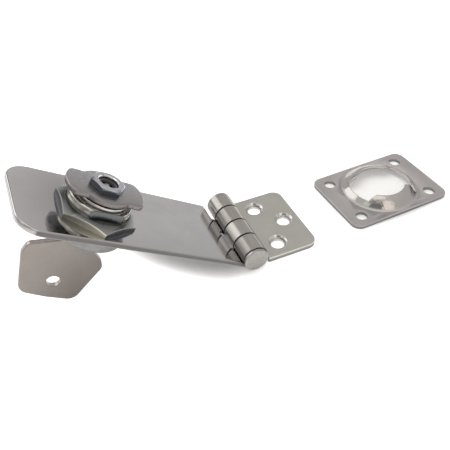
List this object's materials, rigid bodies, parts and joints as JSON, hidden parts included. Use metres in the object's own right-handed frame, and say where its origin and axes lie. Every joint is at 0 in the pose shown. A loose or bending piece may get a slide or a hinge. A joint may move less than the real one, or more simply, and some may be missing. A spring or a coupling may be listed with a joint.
{
  "type": "keyed latch",
  "caption": "Keyed hasp latch: a knuckle hinge carries a long strap with a round cylinder lock, and its turning cam drops into a separate domed keeper plate.",
  "frame": {"origin": "underside of the mounting plate, midway between its two paired screw holes", "axes": "+X runs from the hinge along the line of the closed strap to the keeper, +Z leaves the mounting surface, +Y completes the right-handed frame along the hinge pin"},
  "size_m": [0.1534, 0.033, 0.0443],
  "materials": {
    "plate_steel": "satin, rolled stainless sheet",
    "pin_steel": "turned, bright",
    "strap_steel": "mirror-polished stainless sheet with faint smudges",
    "gasket_rubber": "matt black",
    "body_zinc": "die-cast, bright plated, with a cut thread",
    "cap_steel": "pressed, satin plated",
    "nut_steel": "milled, plated, slightly worn",
    "plug_zinc": "die-cast, bright plated",
    "wafer_brass": "stamped, satin",
    "spring_steel": "bright wire",
    "washer_steel": "stamped, bright edge",
    "spacer_rubber": "matt dark",
    "cam_steel": "stamped, satin, with a brown-grey sheared edge",
    "cam_nut_steel": "milled, bright plated",
    "key_nickel": "nickel-plated, with fine milling lines",
    "keeper_steel": "satin sheet with a polished dome"
  },
  "bodies": {
    "base": {"mounting_plate": "plate_steel", "hinge_pin": "pin_steel", "keeper": "keeper_steel"},
    "strap_side": {"strap": "strap_steel", "head_gasket": "gasket_rubber", "lock_body": "body_zinc", "head_cap": "cap_steel", "mounting_nut": "nut_steel"},
    "plug_side": {"plug": "plug_zinc", "wafer_1": "wafer_brass", "wafer_2": "wafer_brass", "wafer_3": "wafer_brass", "wafer_4": "wafer_brass", "wafer_5": "wafer_brass", "wafer_springs": "spring_steel", "stop_washer": "washer_steel", "cam_spacer": "spacer_rubber", "cam": "cam_steel", "cam_nut": "cam_nut_steel"},
    "key_side": {"key": "key_nickel"}
  },
  "joints": [
    {"name": "strap_hinge", "type": "hinge", "parent": "base", "child": "strap_side", "pos_m": [-0.0114, 0, 0.0045], "axis": [0, 1, 0], "range_deg": [-33.2, 134]},
    {"name": "plug_turn", "type": "hinge", "parent": "strap_side", "child": "plug_side", "pos_m": [-0.05619, -0.0014, 0.03084], "axis": [-0.5478, 0, -0.8366], "range_deg": [-5, 85]},
    {"name": "key_slide", "type": "slide", "parent": "plug_side", "child": "key_side", "axis": [-0.5478, 0, -0.8366], "range_m": [0, 0.022]}
  ]
}
